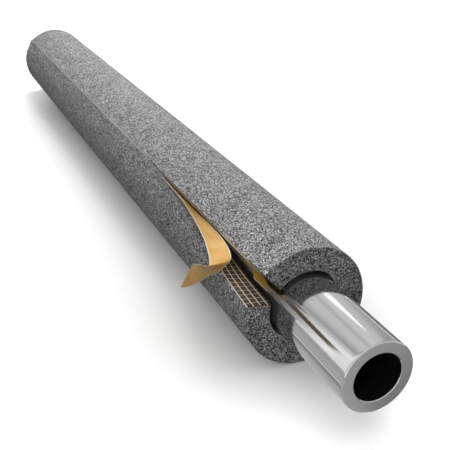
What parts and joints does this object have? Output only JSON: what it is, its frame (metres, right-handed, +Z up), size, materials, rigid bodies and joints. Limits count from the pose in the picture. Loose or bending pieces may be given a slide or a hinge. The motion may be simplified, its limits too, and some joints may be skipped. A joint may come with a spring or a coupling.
{
  "type": "pipe insulation lagging",
  "caption": "Slit foam sleeve on a thick steel pipe, with adhesive tape and peeling release liner along the slit.",
  "frame": {"origin": "on the floor, under the middle of the whole part", "axes": "+X along the pipe towards its bare end, +Z up"},
  "size_m": [1.108, 0.1347, 0.1148],
  "materials": {
    "elastomeric_foam": "matte closed-cell foam",
    "polished_steel": "polished",
    "reinforced_tape": "tacky film with a thread scrim",
    "siliconised_paper": "satin golden paper"
  },
  "bodies": {
    "root": {"foam_sleeve": "elastomeric_foam", "steel_pipe": "polished_steel", "adhesive_tape_lower": "reinforced_tape", "adhesive_tape_upper": "reinforced_tape", "release_liner_lower": "siliconised_paper", "release_liner_upper": "siliconised_paper"}
  },
  "joints": []
}
